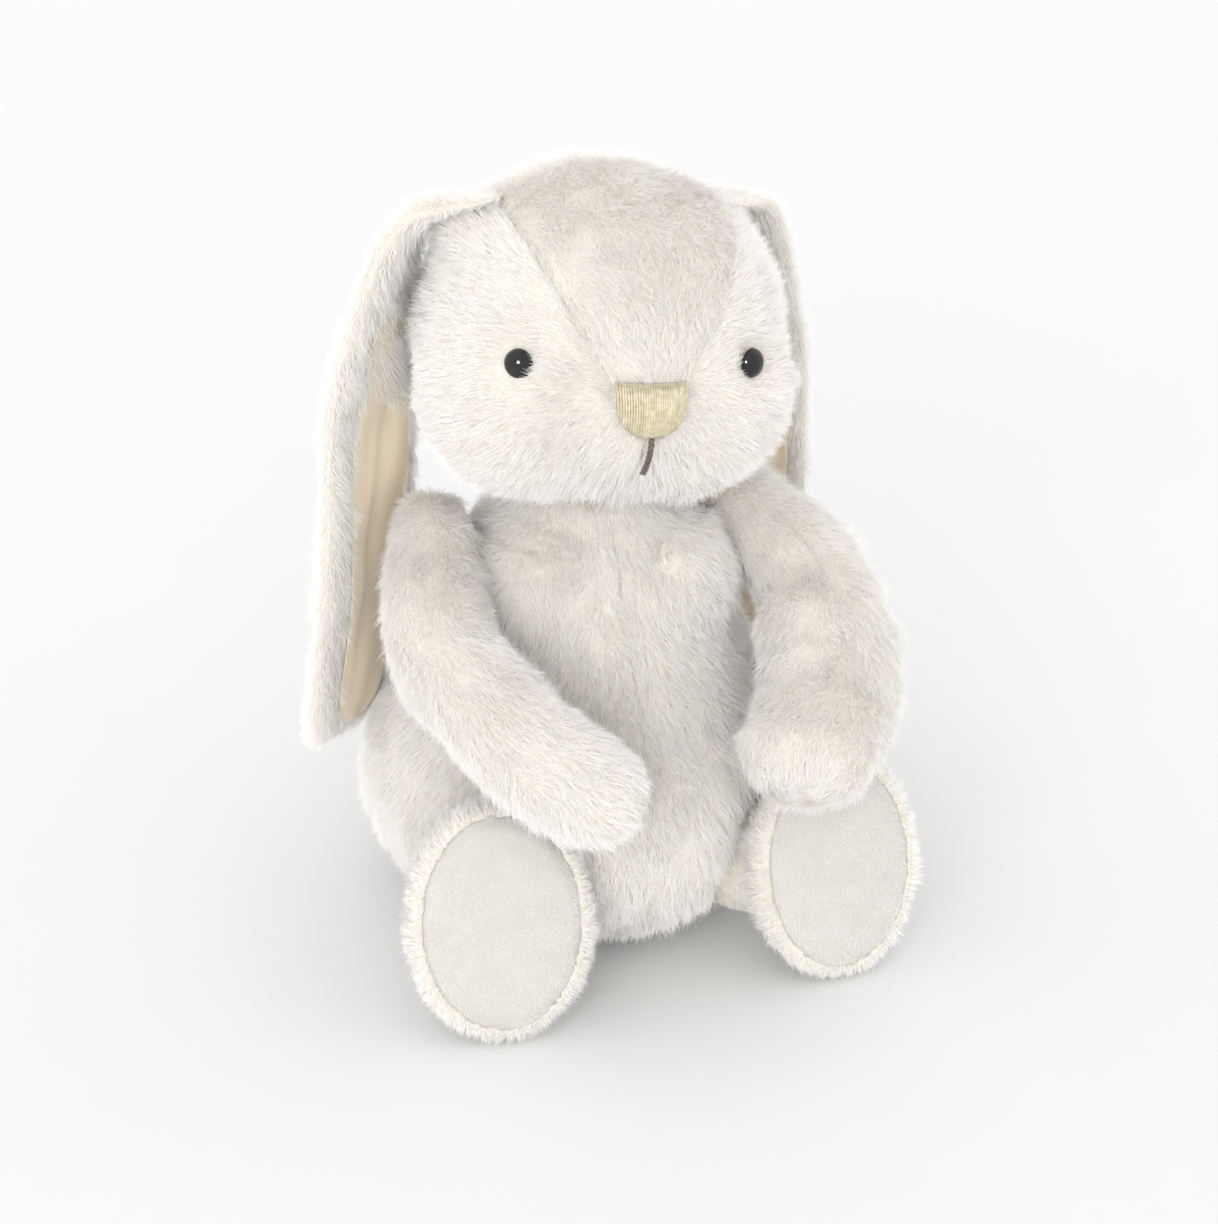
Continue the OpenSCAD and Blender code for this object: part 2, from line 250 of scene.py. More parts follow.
def subdivide(obj, levels=1):
    mod = obj.modifiers.new("even", "SUBSURF")
    mod.levels = mod.render_levels = levels
    bake(obj)


def noise3(p, size, seed):
    """Smooth noise from -1 to 1 at points p, with cells of the given size."""
    q = p / size
    base = np.floor(q).astype(np.int64)
    f = q - base
    f = f * f * (3 - 2 * f)
    out = np.zeros(len(p))
    for dx in (0, 1):
        for dy in (0, 1):
            for dz in (0, 1):
                w = (f[:, 0] if dx else 1 - f[:, 0]) * (f[:, 1] if dy else 1 - f[:, 1])
                w = w * (f[:, 2] if dz else 1 - f[:, 2])
                out += w * lattice(base + [dx, dy, dz], seed)
    return out


def lattice(cells, seed):
    """A fixed value from -1 to 1 for each whole-numbered cell."""
    h = (cells[:, 0] * 73856093) ^ (cells[:, 1] * 19349663) ^ (cells[:, 2] * 83492791) ^ (seed * 2654435761)
    h = (h ^ (h >> 13)) * 1274126177 & 0xFFFFFFFF
    h = (h ^ (h >> 16)) * 2246822519 & 0xFFFFFFFF
    return ((h >> 8) & 0xFFFF) / 32767.5 - 1


# ---------------------------------------------------------------- materials

def material(name, colour, roughness, **sockets):
    m = bpy.data.materials.new(name)
    m.use_nodes = True
    shader = m.node_tree.nodes["Principled BSDF"]
    shader.inputs["Base Color"].default_value = (*colour, 1)
    shader.inputs["Roughness"].default_value = roughness
    for key, value in sockets.items():
        shader.inputs[key.replace("_", " ")].default_value = value
    return m, m.node_tree, shader


def patterned(name, colour, roughness, low, high, scale, bump=0.0, bump_scale=None, stretch=(1, 1, 1), **sockets):
    """A material with its colour between low and high from noise, and a bump from finer noise."""
    m, tree, shader = material(name, colour, roughness, **sockets)
    coords = tree.nodes.new("ShaderNodeTexCoord")
    mapping = tree.nodes.new("ShaderNodeMapping")
    mapping.inputs["Scale"].default_value = stretch
    tree.links.new(coords.outputs["Object"], mapping.inputs["Vector"])
    noise = tree.nodes.new("ShaderNodeTexNoise")
    noise.inputs["Scale"].default_value = scale
    noise.inputs["Detail"].default_value = 6
    tree.links.new(mapping.outputs["Vector"], noise.inputs["Vector"])
    ramp = tree.nodes.new("ShaderNodeValToRGB")
    low_stop, high_stop = ramp.color_ramp.elements
    low_stop.position, high_stop.position = 0.3, 0.7
    low_stop.color, high_stop.color = (*low, 1), (*high, 1)
    tree.links.new(noise.outputs["Fac"], ramp.inputs["Fac"])
    tree.links.new(ramp.outputs["Color"], shader.inputs["Base Color"])
    if bump:
        fine = tree.nodes.new("ShaderNodeTexNoise")
        fine.inputs["Scale"].default_value = bump_scale or scale * 4
        fine.inputs["Detail"].default_value = 4
        tree.links.new(mapping.outputs["Vector"], fine.inputs["Vector"])
        node = tree.nodes.new("ShaderNodeBump")
        node.inputs["Strength"].default_value = 0.6
        node.inputs["Distance"].default_value = bump * MM
        tree.links.new(fine.outputs["Fac"], node.inputs["Height"])
        tree.links.new(node.outputs["Normal"], shader.inputs["Normal"])
    return m


def hair_material():
    """The pile itself: darker and warmer at the roots as painted shade deep in the pile, paler at the tips, and each
    fibre a little different.
    """
    m, tree, shader = material("fur_pile", (0.9, 0.88, 0.84), 0.62, Specular_IOR_Level=0.25)
    info = tree.nodes.new("ShaderNodeHairInfo")
    along = tree.nodes.new("ShaderNodeValToRGB")
    root, tip = along.color_ramp.elements
    # the darker, warmer root colour is painted shade deep in the pile
    root.color, tip.color = (0.935, 0.90, 0.845, 1), (0.982, 0.970, 0.952, 1)
    tip.position = 0.75
    tree.links.new(info.outputs["Intercept"], along.inputs["Fac"])
    vary = tree.nodes.new("ShaderNodeHueSaturation")
    value = tree.nodes.new("ShaderNodeMapRange")
    value.inputs["To Min"].default_value, value.inputs["To Max"].default_value = 0.93, 1.03
    tree.links.new(info.outputs["Random"], value.inputs["Value"])
    tree.links.new(value.outputs["Result"], vary.inputs["Value"])
    tree.links.new(along.outputs["Color"], vary.inputs["Color"])
    tree.links.new(vary.outputs["Color"], shader.inputs["Base Color"])
    return m


def thread_material(name, low, high):
    return patterned(name, high, 0.5, low, high, 500, bump=0.08, bump_scale=3000, Sheen_Weight=0.3)


# the fabric under the pile is kept much darker than the fibres: painted shade deep in the pile; the noise between its
# two colours is random tone
FUR = patterned("fur_fabric", (0.76, 0.72, 0.65), 0.9, (0.66, 0.615, 0.54), (0.76, 0.72, 0.655), 420,
                bump=0.8, bump_scale=900, Sheen_Weight=0.2, Sheen_Roughness=0.5)
PILE_MAT = hair_material()
# the lining is cream cloth; its tan colour is painted shade from the hollow between ear and head
SATIN = patterned("lining_satin", (0.80, 0.70, 0.55), 0.42, (0.78, 0.66, 0.49), (0.86, 0.75, 0.59), 60,
                  bump=0.05, bump_scale=2600, stretch=(1, 1, 0.15), Sheen_Weight=0.4, Sheen_Roughness=0.35)
VELOUR = patterned("sole_velour", (0.68, 0.66, 0.61), 0.85, (0.535, 0.52, 0.485), (0.575, 0.56, 0.53), 90,
                   bump=0.25, bump_scale=1500, Sheen_Weight=0.3, Sheen_Roughness=0.4)
NOSE_THREAD = thread_material("nose_thread", (0.44, 0.38, 0.24), (0.68, 0.62, 0.46))
MOUTH_THREAD = thread_material("mouth_thread", (0.05, 0.035, 0.028), (0.15, 0.105, 0.08))
GOLD_THREAD = thread_material("gold_thread", (0.42, 0.29, 0.13), (0.60, 0.44, 0.22))
PATCH = patterned("patch_cloth", (0.84, 0.80, 0.72), 0.8, (0.74, 0.70, 0.62), (0.82, 0.78, 0.70), 700, bump=0.1)
EYE = patterned("eye_plastic", (0.01, 0.009, 0.009), 0.08, (0.008, 0.007, 0.007), (0.016, 0.013, 0.013), 300,
                Specular_IOR_Level=0.4, Coat_Weight=0.1, Coat_Roughness=0.04)
STUFFING = patterned("stuffing", (0.9, 0.9, 0.89), 1.0, (0.80, 0.80, 0.79), (0.93, 0.93, 0.92), 140,
                     bump=1.2, bump_scale=500, Sheen_Weight=0.4)
WASHER = patterned("washer_plastic", (0.85, 0.85, 0.83), 0.4, (0.82, 0.82, 0.8), (0.87, 0.87, 0.85), 200, bump=0.05)
POUCH = patterned("pellet_bag", (0.8, 0.8, 0.77), 0.85, (0.72, 0.72, 0.69), (0.84, 0.84, 0.81), 900,
                  bump=0.5, bump_scale=260)


def dress(obj, mat, body, nodes=()):
    """Gives a finished piece its material and its place in the frame."""
    obj.data.materials.clear()
    obj.data.materials.append(mat)
    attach(obj, body)
    if nodes:
        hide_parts(*nodes)
    return obj


# ---------------------------------------------------------------- panels and seams

def cut_along(bm, field, where=None):
    """Adds edges to the mesh along the line where field changes sign."""
    value = {v: field(v.co / MM) for v in bm.verts}
    for v, x in value.items():
        if abs(x) < 0.02:
            value[v] = 0.0
    for e in list(bm.edges):
        a, b = e.verts
        fa, fb = value[a], value[b]
        if fa * fb < 0 and (where is None or where((a.co + b.co) / 2 / MM)):
            _, v = bmesh.utils.edge_split(e, a, fa / (fa - fb))
            value[v] = 0.0
    for f in list(bm.faces):
        on = [v for v in f.verts if value.get(v) == 0.0]
        if len(on) == 2 and not any(set(e.verts) == set(on) for e in f.edges):
            bmesh.utils.face_split(f, on[0], on[1])


def open_rim(loops):
    """The edges that belong to one face only, in the direction that the face uses them."""
    used = dict.fromkeys(pair for loop in loops for pair in zip(loop, loop[1:] + loop[:1]))
    return [(a, b) for a, b in used if (b, a) not in used]


def split_panels(form, cuts, panel_of, thickness=1.8, seam=0.04):
    """Cuts a form into closed panels. Returns {panel: object}. The form stays, as the base for the pile."""
    bm = bmesh.new()
    bm.from_mesh(form.data)
    for cut in cuts:
        cut_along(bm, *cut)
    groups = {}
    for f in bm.faces:
        groups.setdefault(panel_of(f.calc_center_median() / MM), []).append(f)
    panels = {}
    for name, faces in groups.items():
        verts = {}
        for f in faces:
            for v in f.verts:
                verts.setdefault(v, len(verts))
        points = np.array([v.co for v in verts]) / MM
        normals = np.array([v.normal for v in verts])
        loops = [[verts[v] for v in f.verts] for f in faces]
        inner = points - normals * thickness
        n = len(points)
        rim = open_rim(loops)
        faces_out = loops + [[i + n for i in loop[::-1]] for loop in loops]
        faces_out += [[b, a, a + n, b + n] for a, b in rim]
        edge = sorted({a for pair in rim for a in pair})
        pull = np.zeros((n, 3))
        for a, b in rim:                    # each rim point moves a little into its own panel
            inward = np.cross(normals[a], points[b] - points[a])
            pull[a] += inward
            pull[b] += inward
        points[edge] += unit(pull[edge]) * seam
        inner[edge] += unit(pull[edge]) * seam
        panels[name] = make_mesh(name, np.vstack([points, inner]), faces_out)
    bm.free()
    return panels


def groove(points, normals, distance, depth, width):
    """Points near a seam sink along their normals."""
    return points - normals * (depth * np.exp(-(distance / width) ** 2))[:, None]


def clumped(points, normals, comb, depth, size, seed):
    """The relief of the pile: low soft tufts, longer along the lie of the pile."""
    q = points - comb * (points * comb).sum(1, keepdims=True) * 0.45
    h = noise3(q, size, seed) * 0.65 + noise3(q, size * 0.5, seed + 7) * 0.35
    return points + normals * (h * depth)[:, None]


def inset_copy(form, name, depth):
    """The filling: the form's own shape, smaller by depth."""
    mesh = form.data.copy()
    obj = add_object(name, mesh)
    set_co(obj, co_of(form) - normals_of(form) * depth)
    mod = obj.modifiers.new("thin", "DECIMATE")
    mod.ratio = 0.25
    bake(obj)
    p, n = co_of(obj), normals_of(obj)
    set_co(obj, p + n * (noise3(p, 9.0, 3) * 0.5 - 0.5)[:, None])
    return obj


# ---------------------------------------------------------------- pile

PILE_DENSITY = 2.6        # fibres per square millimetre
FIBRE_R = 0.06
POINTS = 5


def roots_on(form, density, seed):
    """Even random points over a mesh, with their smooth normals."""
    rng = np.random.default_rng(seed)
    mesh = form.data
    mesh.calc_loop_triangles()
    tri = np.empty(len(mesh.loop_triangles) * 3, np.int32)
    mesh.loop_triangles.foreach_get("vertices", tri)
    tri = tri.reshape(-1, 3)
    p, n = co_of(form), normals_of(form)
    a, b, c = p[tri[:, 0]], p[tri[:, 1]], p[tri[:, 2]]
    area = np.linalg.norm(np.cross(b - a, c - a), axis=1) / 2
    total = int(area.sum() * density)
    pick = np.searchsorted(np.cumsum(area) / area.sum(), (np.arange(total) + rng.random(total)) / total)
    pick = np.minimum(pick, len(tri) - 1)
    u, v = rng.random(total), rng.random(total)
    flip = u + v > 1
    u[flip], v[flip] = 1 - u[flip], 1 - v[flip]
    w = np.stack([1 - u - v, u, v], 1)[:, :, None]
    t = tri[pick]
    return (p[t] * w).sum(1), unit((n[t] * w).sum(1)), rng


def tuft_centres(p, size):
    """For each point, the middle of the tuft that it belongs to."""
    out = np.empty_like(p)
    for start in range(0, len(p), 200000):
        q = p[start:start + 200000]
        cell = np.floor(q / size).astype(np.int64)
        best = np.full(len(q), 1e9)
        found = np.zeros_like(q)
        for dx in (-1, 0, 1):
            for dy in (-1, 0, 1):
                for dz in (-1, 0, 1):
                    c = cell + [dx, dy, dz]
                    centre = (c + 0.5 + 0.45 * np.stack([lattice(c, s) for s in (11, 12, 13)], 1)) * size
                    d = ((centre - q) ** 2).sum(1)
                    nearer = d < best
                    best[nearer] = d[nearer]
                    found[nearer] = centre[nearer]
        out[start:start + 200000] = found
    return out


def grow_pile(name, body, form, comb_of, length_of, seed, lift, tuft=3.6, gather=0.5, density=1.0, radius=1.0):
    """Covers a form with fibres.

    comb_of(points, normals) is the lie of the pile, and length_of(points) its length, 0 where there is none.
    """
    p, n, rng = roots_on(form, PILE_DENSITY * density, seed)
    length = length_of(p)
    keep = length > 0.5
    p, n, length = p[keep], n[keep], length[keep]
    count = len(p)
    comb = comb_of(p, n)
    comb = comb - n * (comb * n).sum(1, keepdims=True)
    comb = unit(comb)
    sway = np.stack([noise3(p, 14.0, seed + k) for k in range(3)], 1) * 0.35
    sway += np.stack([noise3(p, 5.0, seed + 20 + k) for k in range(3)], 1) * 0.35
    lie = unit(comb + sway + rng.normal(0, 0.22, (count, 3)))
    length = length * (0.72 + 0.5 * rng.random(count)) * (1 + 0.12 * noise3(p, 8.0, seed + 40))
    rise = np.clip(lift + 0.16 * noise3(p, 7.0, seed + 50) + rng.normal(0, 0.10, count), 0.12, 0.95)
    centre = tuft_centres(p, tuft)
    to_centre = centre - p
    to_centre -= n * (to_centre * n).sum(1, keepdims=True)
    t = np.linspace(0, 1, POINTS)
    strands = np.empty((count, POINTS, 3), np.float32)
    for k, s in enumerate(t):
        up = rise * (s - 0.38 * s * s)
        out = (1 - rise) * (0.45 * s + 0.55 * s * s)
        strands[:, k] = p + (n * up[:, None] + lie * out[:, None]) * length[:, None] + to_centre * (gather * s ** 1.5)
    strands -= (n * 0.4)[:, None, :].astype(np.float32)
    hair = bpy.data.hair_curves.new(name)
    hair.add_curves([POINTS] * count)
    hair.position_data.foreach_set("vector", (strands * MM).astype(np.float32).ravel())
    taper = np.tile((FIBRE_R * radius * MM * np.array([1.0, 1.0, 0.85, 0.6, 0.2])).astype(np.float32), count)
    attribute = hair.attributes.get("radius") or hair.attributes.new("radius", "FLOAT", "POINT")
    attribute.data.foreach_set("value", taper)
    hair.materials.append(PILE_MAT)
    obj = add_object(name, hair)
    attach(obj, body)
    return obj


# ---------------------------------------------------------------- head

def in_head(p):
    """From the resting head back to the level head."""
    return (np.asarray(p, float) - NECK) @ HEAD_ROT + NECK


def wedge_half(z):
    """Half the width of the forehead panel at a height."""
    low, high = NOSE_Z, HEAD[2] + 0.8 * HEAD_H
    return (NOSE_W / 2 + 1) + (FOREHEAD_W / 2 - NOSE_W / 2 - 1) * np.clip((z - low) / (high - low), 0, 1)


def head_panel(p):
    if p[1] < HEAD_SEAM_Y and p[2] > NOSE_Z and abs(p[0]) < wedge_half(p[2]):
        return "forehead_panel"
    side = "left" if p[0] > 0 else "right"
    return ("cheek_" if p[1] < HEAD_SEAM_Y else "head_back_") + side


def in_forehead(p):
    return (p[:, 1] < HEAD_SEAM_Y) & (p[:, 2] > NOSE_Z) & (np.abs(p[:, 0]) < wedge_half(p[:, 2]))


def eye_point(side):
    s, l = math.radians(EYE_SIDE - side * EYE_SHIFT), math.radians(EYE_LIFT)
    return HEAD + [side * HEAD_R * math.sin(s) * math.cos(l), -HEAD_R * math.cos(s) * math.cos(l), HEAD_H * math.sin(l)]


def eye_rotation(side):
    return turn("Z", side * EYE_SIDE - EYE_SHIFT) @ turn("X", 90 - EYE_LIFT)


NOSE_POINT = np.array([0, MUZZLE[1] - MUZZLE_R, NOSE_Z - 6])


def head_comb(p, n):
    """The forehead lies down towards the nose, the cheeks lie away from it, the back lies down."""
    towards = unit(NOSE_POINT - p)
    cheek = unit(p - NOSE_POINT) + [0, 0, -0.25]
    back = np.tile(np.array([0, 0.35, -1.0]), (len(p), 1))
    out = np.where(in_forehead(p)[:, None], towards, cheek)
    behind = np.clip((p[:, 1] - HEAD_SEAM_Y) / 10, 0, 1)[:, None]
    return unit(out) * (1 - behind) + back * behind


def nose_depth(x):
    """How far the stitching of the nose reaches down at x."""
    return NOSE_H * (0.4 + 0.6 * np.sqrt(np.clip(1 - (x / (NOSE_W / 2)) ** 2, 0, 1)))


def head_length(p):
    length = np.full(len(p), 9.5)
    length -= 3.0 * np.clip(1 - np.linalg.norm(p - NOSE_POINT, axis=1) / 34, 0, 1)
    for side in (LEFT, RIGHT):
        away = np.linalg.norm(p - eye_point(side), axis=1)
        length *= np.clip((away - 3.6) / 8, 0.0, 1) ** 0.6
    on_nose = (p[:, 1] < MUZZLE[1]) & (np.abs(p[:, 0]) < NOSE_W / 2 - 0.8)
    on_nose &= (p[:, 2] < NOSE_Z - 1) & (p[:, 2] > NOSE_Z - nose_depth(p[:, 0]) + 1)
    length[on_nose] = 0
    nose_bottom = NOSE_Z - NOSE_H
    on_mouth = (p[:, 1] < MUZZLE[1]) & (np.abs(p[:, 0]) < 0.7)
    on_mouth &= (p[:, 2] < nose_bottom + 2) & (p[:, 2] > nose_bottom - 14)
    length[on_mouth] = 0
    length[np.linalg.norm(p - NECK, axis=1) < NECK_R + 2.6] = 0
    return length


def build_head():
    shells = [
        ball(HEAD, (HEAD_R - PILE, HEAD_R - PILE, HEAD_H - PILE)),
        ball(MUZZLE + [0, 2, 0], MUZZLE_R - PILE),
    ]
    shells += [ball(HEAD + [24, -22, -14], (42, 42, 40)), ball(HEAD + [-28, -20, -13], (43, 43, 41))]
    for side in (LEFT, RIGHT):                       # the head is drawn out a little where each ear is sewn on
        shells.append(ball(ear_seat(side, -3.5) * [side, 1, 1], (11, 14, 12)))
    form = remeshed("head_form", shells, 5.0, [ball(NECK, NECK_R + 1.2)])
    relax(form, 6)
    inflate(form, 3.0)
    relax(form, 2)
    subdivide(form, 2)
    p, n = co_of(form), normals_of(form)
    front = p[:, 1] < HEAD_SEAM_Y
    wedge = np.where(front & (p[:, 2] > NOSE_Z - 6), np.abs(np.abs(p[:, 0]) - wedge_half(p[:, 2])) * 0.9, 99)
    middle = np.where(in_forehead(p), 99, np.abs(p[:, 0]))
    ear_to_ear = np.abs(p[:, 1] - HEAD_SEAM_Y)
    p = groove(p, n, wedge, 1.5, 2.6)
    p = groove(p, n, middle, 0.5, 2.4)
    p = groove(p, n, ear_to_ear, 0.9, 2.4)
    for side in (LEFT, RIGHT):
        p = groove(p, n, np.linalg.norm(p - eye_point(side), axis=1), 2.2, 9)
    comb = unit(head_comb(p, n))
    p = clumped(p, n, comb, 0.7, 6.0, 5)
    away = np.linalg.norm(p - NECK, axis=1, keepdims=True)
    hollow = (away < NECK_R + 1.6)
    p = np.where(hollow, NECK + (p - NECK) / away * (NECK_R + 1.6), p)
    set_co(form, p)

    def wedge_field(v):
        return abs(v[0]) - float(wedge_half(v[2]))
    cuts = [
        (lambda v: v[1] - HEAD_SEAM_Y,),
        (wedge_field, lambda v: v[1] < HEAD_SEAM_Y and v[2] > NOSE_Z),
        (lambda v: v[2] - NOSE_Z, lambda v: v[1] < 0 and abs(v[0]) < wedge_half(v[2]) + 1),
        (lambda v: v[0], lambda v: head_panel(v) != "forehead_panel"),
    ]
    panels = split_panels(form, cuts, head_panel)
    for name, panel in panels.items():
        set_co(panel, tilt(co_of(panel)))
        dress(panel, FUR, "head", [name])
    filling = inset_copy(form, "head_filling", 3.2)
    set_co(filling, tilt(co_of(filling)))
    dress(filling, STUFFING, "head", ["head_stuffing"])
    set_co(form, tilt(co_of(form)))
    grow_pile("head_pile", "head", form, lambda q, m: head_comb(in_head(q), m) @ HEAD_ROT.T,
              lambda q: head_length(in_head(q)), 100, lift=0.46)
    bpy.data.objects.remove(form)


def build_eyes():
    for side in (LEFT, RIGHT):
        r = EYE_D / 2 + 0.25
        dome = [(r * 0.3, -1), (r * 0.3, 0.3), (r * 0.92, 0.35)]
        dome += [(r * math.cos(a), 0.9 + (r - 1.1) * math.sin(a)) for a in np.linspace(0.02, 1.55, 14)]
        points, faces = lathe([(r * 0.3, -7), *dome, (0.02, 0.9 + r - 1.1)], 48)
        points = tilt(placed(points, eye_rotation(side), eye_point(side) + (eye_rotation(side) @ [0, 0, -1.4])))
        eye = make_mesh(f"eye_{SIDE_NAME[side]}_dome", points, faces)
        dress(eye, EYE, "head", [f"eye_{SIDE_NAME[side]}"])
        ring = [(2.0, 0), (2.0, 1.6), (3.2, 2.0), (7.4, 1.5), (8.0, 0.9), (8.0, 0.3), (7.4, 0), (2.0, 0)]
        points, faces = lathe(ring, 48)
        points = tilt(placed(points, eye_rotation(side), eye_point(side) + (eye_rotation(side) @ [0, 0, -7.6])))
        washer = make_mesh(f"eye_{SIDE_NAME[side]}_lock", points, faces[:-2])
        dress(washer, WASHER, "head", [f"eye_washer_{SIDE_NAME[side]}"])


def strand(path, radius, sides):
    """A round thread along a path, as points and faces."""
    path = np.asarray(path, float)
    along = unit(np.gradient(path, axis=0))
    ref = np.eye(3)[np.argmin(np.abs(path[-1] - path[0]))]        # the axis that the thread runs least along
    a = unit(np.cross(along, ref))
    b = np.cross(along, a)
    ends = np.ones(len(path))
    ends[[0, -1]] = 0.35
    rings = []
    t = np.linspace(0, 2 * math.pi, sides, endpoint=False)
    for i in range(len(path)):
        rings.append(path[i] + radius * ends[i] * (np.cos(t)[:, None] * a[i] + np.sin(t)[:, None] * b[i]))
    return tube(rings)


def on_muzzle(x, z, out=0.0):
    """A point on the front of the muzzle, with the stitching spread about the middle of the nose."""
    x, z = x * NOSE_PUFF, NOSE_Z - 7 + (z - NOSE_Z + 7) * NOSE_PUFF
    r = MUZZLE_R + out
    return np.array([x, MUZZLE[1] - math.sqrt(r * r - x * x - (z - MUZZLE[2]) ** 2), z])


def build_nose():
    rng = np.random.default_rng(4)
    threads = []
    half = NOSE_W / 2
    for x in np.arange(-half + 0.5, half - 0.4, 0.84):
        bottom = float(nose_depth(x)) + rng.uniform(-0.25, 0.25)
        puff = 1.5 * (1 - (x / half) ** 2) ** 0.5
        path = []
        for s in np.linspace(0, 1, 12):
            z = NOSE_Z + 0.2 + rng.uniform(-0.03, 0.03) - s * bottom
            height = 0.35 + puff * (4 * s * (1 - s)) ** 0.4
            path.append(on_muzzle(x * (1 - 0.06 * s) + rng.uniform(-0.04, 0.04), z, height))
        threads.append(strand(path, 0.5 + rng.uniform(-0.06, 0.05), 8))
    rows = []
    for s in np.linspace(0, 1, 9):
        rows.append([on_muzzle(x * (1 - 0.06 * s), NOSE_Z - s * float(nose_depth(x)),
                               -0.2 + 1.25 * (1 - (x / half) ** 2) ** 0.5 * (4 * s * (1 - s)) ** 0.4)
                     for x in np.linspace(-half + 0.6, half - 0.6, 15)])
    grid = np.array(rows).reshape(-1, 3)
    back = grid + [0, 2.4, 0]
    faces = []
    for i in range(8):
        for j in range(14):
            q = [i * 15 + j, i * 15 + j + 1, (i + 1) * 15 + j + 1, (i + 1) * 15 + j]
            faces.append(q)
            faces.append([k + len(grid) for k in q[::-1]])
    for a, b in open_rim(faces[::2]):
        faces.append([b, a, a + len(grid), b + len(grid)])
    threads.append((np.vstack([grid, back]), faces))
    points, faces = joined(threads)
    nose = make_mesh("nose_stitching", tilt(points), faces)
    dress(nose, NOSE_THREAD, "head", ["nose"])

    plies = []
    top, low = NOSE_Z - NOSE_H + 0.8, NOSE_Z - NOSE_H - 13.5
    for k in range(3):
        path = []
        for s in np.linspace(0, 1, 40):
            a = 2 * math.pi * (k / 3 + 2.6 * s)
            base = on_muzzle(0, top + (low - top) * s, 1.0 + 1.2 * math.sin(math.pi * s) ** 0.4 + 0.6 * math.sin(a))
            path.append(base + [0.5 * math.cos(a) - 0.3, 0, 0])
        plies.append(strand(path, 0.66, 8))
    points, faces = joined(plies)
    mouth = make_mesh("mouth_thread", tilt(points), faces)
    dress(mouth, MOUTH_THREAD, "head", ["mouth_stitch"])


# ---------------------------------------------------------------- torso

def torso_profile(inset, steps=60):
    """(radius, height) from the middle of the seat up to the chest."""
    quarter = math.pi / 2
    belly = [(BELLY_R * math.cos(a), BELLY_Z + BELLY_H * math.sin(a)) for a in np.linspace(-quarter, quarter, 160)]
    chest = [(CHEST_R * math.cos(a), CHEST_Z + CHEST_R * math.sin(a)) for a in np.linspace(-0.2, quarter, 60)]
    out = []
    for z in np.linspace(inset * 0.6, CHEST_Z + CHEST_R - inset, steps):
        r = 0.0
        for pts in (belly, chest):
            p = np.array(pts)
            if p[0, 1] <= z <= p[-1, 1]:
                r = max(r, float(np.interp(z, p[:, 1], p[:, 0])))
        out.append((r, z))
    hull = np.array(out)
    start, end = np.argmax(hull[:, 0]), int(np.searchsorted(hull[:, 1], CHEST_Z + 14))
    bridge = slice(start, end + 1)
    best = hull[bridge, 0].copy()
    for i in range(start, end + 1):                      # the straight sides between belly and chest
        for j in range(i + 1, end + 1):
            span = np.arange(i, j + 1)
            line = hull[i, 0] + (hull[j, 0] - hull[i, 0]) * (span - i) / (j - i)
            best[span - start] = np.maximum(best[span - start], line)
    hull[bridge, 0] = best
    hull[:, 0] = np.maximum(hull[:, 0] - inset, 0.5)
    return [tuple(r) for r in hull]


def torso_comb(p, n):
    down = np.tile(np.array([0, 0, -1.0]), (len(p), 1))
    down[:, :2] += n[:, :2] * 0.2
    return down


def torso_length(p):
    length = np.full(len(p), 10.5)
    length *= np.clip((p[:, 2] - 0.6) / 10, 0, 1) ** 0.5
    length[p[:, 2] < 2.5] = 0
    for side in (LEFT, RIGHT):
        shoulder = np.array(ARM_BALLS[side][0][:3])
        length[np.linalg.norm(p - shoulder, axis=1) < ARM_BALLS[side][0][3] + 1.5] = 0
        length[np.linalg.norm(p - HIP[side], axis=1) < HIP_R + 1.5] = 0
    length[np.linalg.norm(p - patch_centre(), axis=1) < 4.5] = 0
    return length


def patch_centre():
    slope = math.asin((PATCH_Z - CHEST_Z) / CHEST_R)
    r = CHEST_R * math.cos(slope)
    a = math.radians(PATCH_SIDE)
    return np.array([r * math.sin(a), -r * math.cos(a), PATCH_Z])


